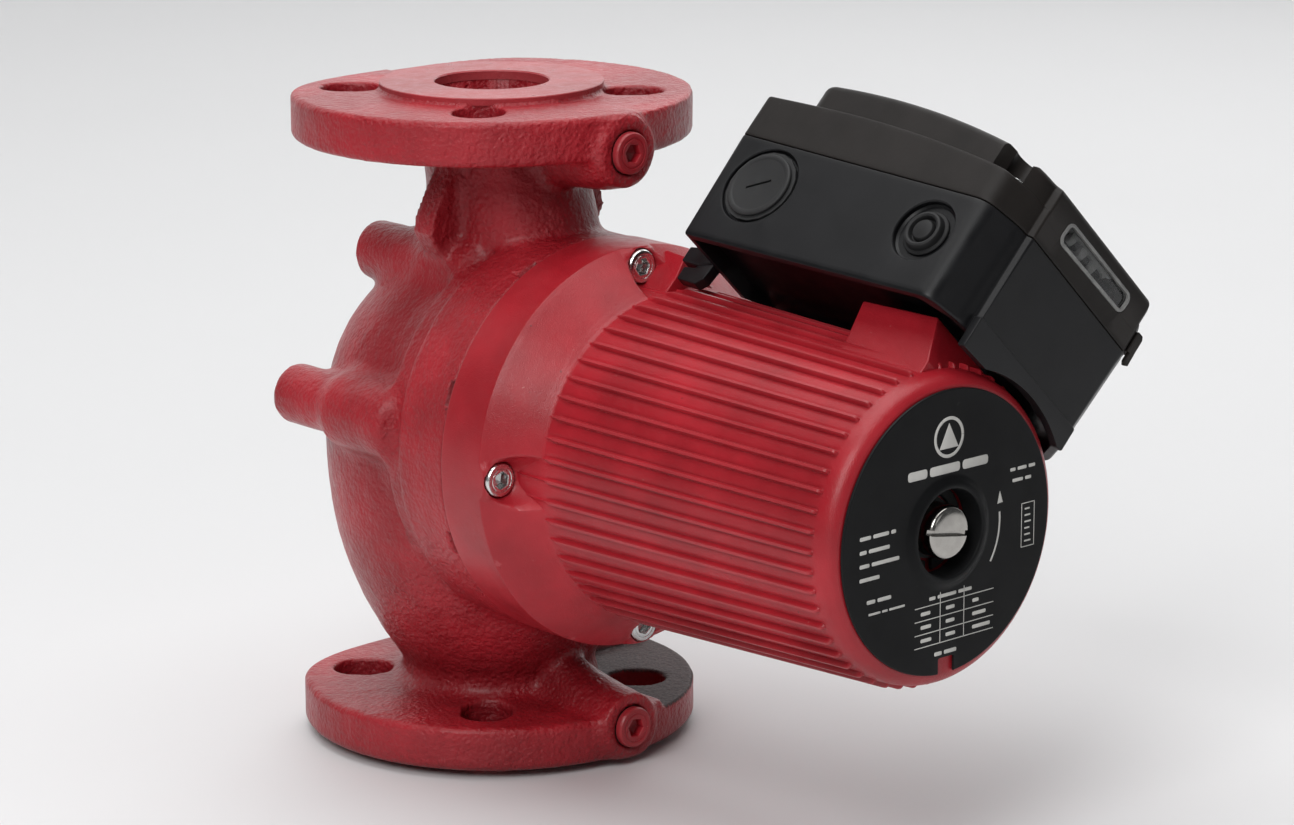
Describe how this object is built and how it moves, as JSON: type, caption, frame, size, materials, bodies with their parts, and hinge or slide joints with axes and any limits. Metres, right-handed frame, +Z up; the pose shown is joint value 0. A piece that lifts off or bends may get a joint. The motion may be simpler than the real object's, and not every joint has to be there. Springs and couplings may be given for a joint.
{
  "type": "circulator pump",
  "caption": "Wet-rotor heating circulator: flanged in-line cast housing, ribbed canned motor set at a right angle to the pipe, tilted terminal box with a lift-off lid.",
  "frame": {"origin": "on the lower flange's sealing face, 31 mm in front of the pipe axis, below the motor axis", "axes": "+Z up along the pipe axis from suction to delivery, -Y along the motor axis away from the pipe, +X to the side the terminal box leans to"},
  "size_m": [0.2011, 0.3026, 0.2598],
  "materials": {
    "red_painted_iron": "satin",
    "red_painted_aluminium": "satin",
    "black_box_plastic": "matte",
    "dark_inner_plastic": "matte",
    "grey_inner_plastic": "satin",
    "blue_switch_plastic": "satin",
    "zinc_screw_steel": "satin",
    "chromed_brass": "polished",
    "stainless_sheet": "satin",
    "bearing_ceramic": "satin",
    "bearing_carbon": "matte",
    "seal_rubber": "matte",
    "enamelled_copper": "satin",
    "electrical_steel": "satin",
    "terminal_brass": "satin",
    "window_plastic": "gloss",
    "plate_foil": "satin"
  },
  "bodies": {
    "pump": {"bearing_plate": "stainless_sheet", "box_gasket": "seal_rubber", "box_screw_1": "zinc_screw_steel", "box_screw_2": "zinc_screw_steel", "cable_grommet": "seal_rubber", "contact_module": "grey_inner_plastic", "earth_screw": "terminal_brass", "front_bearing": "bearing_ceramic", "housing_gasket": "seal_rubber", "housing_screw_1": "zinc_screw_steel", "housing_screw_2": "zinc_screw_steel", "housing_screw_3": "zinc_screw_steel", "housing_screw_4": "zinc_screw_steel", "lead_cable": "dark_inner_plastic", "nameplate": "plate_foil", "neck_ring": "stainless_sheet", "pump_housing": "red_painted_iron", "rear_bearing": "bearing_ceramic", "rotor_can": "stainless_sheet", "stator_core": "electrical_steel", "stator_housing": "red_painted_aluminium", "terminal_block": "grey_inner_plastic", "terminal_box_base": "black_box_plastic", "terminal_screw_1": "terminal_brass", "terminal_screw_2": "terminal_brass", "terminal_screw_3": "terminal_brass", "terminal_screw_4": "terminal_brass", "winding_front": "enamelled_copper", "winding_rear": "enamelled_copper", "wire_grommet": "seal_rubber"},
    "rotating_group": {"shaft": "stainless_sheet", "rotor": "stainless_sheet", "impeller": "stainless_sheet", "impeller_nut": "stainless_sheet", "thrust_collar": "bearing_carbon"},
    "vent_seal": {"vent_screw_seal": "seal_rubber"},
    "vent": {"vent_screw": "chromed_brass"},
    "lower_gauge_seal": {"gauge_seal_lower": "seal_rubber"},
    "lower_gauge_plug": {"gauge_plug_lower": "red_painted_iron"},
    "upper_gauge_seal": {"gauge_seal_upper": "seal_rubber"},
    "upper_gauge_plug": {"gauge_plug_upper": "red_painted_iron"},
    "cable_seal": {"cable_plug_seal": "seal_rubber"},
    "cable_entry_plug": {"cable_plug": "black_box_plastic"},
    "lid": {"terminal_box_lid": "black_box_plastic", "lid_window": "window_plastic"},
    "switch": {"speed_switch": "blue_switch_plastic"},
    "lid_screw_body_1": {"lid_screw_1": "zinc_screw_steel"},
    "lid_screw_body_2": {"lid_screw_2": "zinc_screw_steel"},
    "lid_screw_body_3": {"lid_screw_3": "zinc_screw_steel"},
    "lid_screw_body_4": {"lid_screw_4": "zinc_screw_steel"}
  },
  "joints": [
    {"name": "rotor_spin", "type": "hinge", "parent": "pump", "child": "rotating_group", "pos_m": [0, 0, 0.124], "axis": [0, -1, 0], "continuous": true},
    {"name": "vent_travel", "type": "slide", "parent": "pump", "child": "vent_seal", "axis": [0, -1, 0], "range_m": [0, 0.003]},
    {"name": "vent_turn", "type": "hinge", "parent": "vent_seal", "child": "vent", "pos_m": [0, 0, 0.124], "axis": [0, -1, 0], "range_deg": [0, 720]},
    {"name": "lower_gauge_travel", "type": "slide", "parent": "pump", "child": "lower_gauge_seal", "axis": [0, -1, 0], "range_m": [0, 0.01337]},
    {"name": "lower_gauge_turn", "type": "hinge", "parent": "lower_gauge_seal", "child": "lower_gauge_plug", "pos_m": [0, 0, 0.015], "axis": [0, -1, 0], "range_deg": [0, 3600]},
    {"name": "upper_gauge_travel", "type": "slide", "parent": "pump", "child": "upper_gauge_seal", "axis": [0, -1, 0], "range_m": [0, 0.01337]},
    {"name": "upper_gauge_turn", "type": "hinge", "parent": "upper_gauge_seal", "child": "upper_gauge_plug", "pos_m": [0, 0, 0.2327], "axis": [0, -1, 0], "range_deg": [0, 3600]},
    {"name": "cable_plug_travel", "type": "slide", "parent": "pump", "child": "cable_seal", "axis": [-0.7303, -0.057, 0.6808], "range_m": [0, 0.009]},
    {"name": "cable_plug_turn", "type": "hinge", "parent": "cable_seal", "child": "cable_entry_plug", "pos_m": [0.01172, -0.1025, 0.22711], "axis": [-0.7303, -0.057, 0.6808], "range_deg": [0, 2160]},
    {"name": "lid_lift", "type": "slide", "parent": "pump", "child": "lid", "axis": [0.7071, 0, 0.7071], "range_m": [0, 0.06]},
    {"name": "switch_pull", "type": "slide", "parent": "pump", "child": "switch", "axis": [0.7071, 0, 0.7071], "range_m": [0, 0.01]},
    {"name": "lid_screw_turn_1", "type": "hinge", "parent": "lid", "child": "lid_screw_body_1", "pos_m": [0.04176, -0.0866, 0.24835], "axis": [0.7071, 0, 0.7071], "range_deg": [0, 1440]},
    {"name": "lid_screw_turn_2", "type": "hinge", "parent": "lid", "child": "lid_screw_body_2", "pos_m": [0.0427, -0.1965, 0.23712], "axis": [0.7071, 0, 0.7071], "range_deg": [0, 1440]},
    {"name": "lid_screw_turn_3", "type": "hinge", "parent": "lid", "child": "lid_screw_body_3", "pos_m": [0.10048, -0.1934, 0.18007], "axis": [0.7071, 0, 0.7071], "range_deg": [0, 1440]},
    {"name": "lid_screw_turn_4", "type": "hinge", "parent": "lid", "child": "lid_screw_body_4", "pos_m": [0.11433, -0.0885, 0.17582], "axis": [0.7071, 0, 0.7071], "range_deg": [0, 1440]}
  ],
  "couplings": [
    {"joint": "vent_travel", "follows": "vent_turn", "m_per_rad": 0.00023873},
    {"joint": "lower_gauge_travel", "follows": "lower_gauge_turn", "m_per_rad": 0.00021279},
    {"joint": "upper_gauge_travel", "follows": "upper_gauge_turn", "m_per_rad": 0.00021279},
    {"joint": "cable_plug_travel", "follows": "cable_plug_turn", "m_per_rad": 0.00023873}
  ]
}
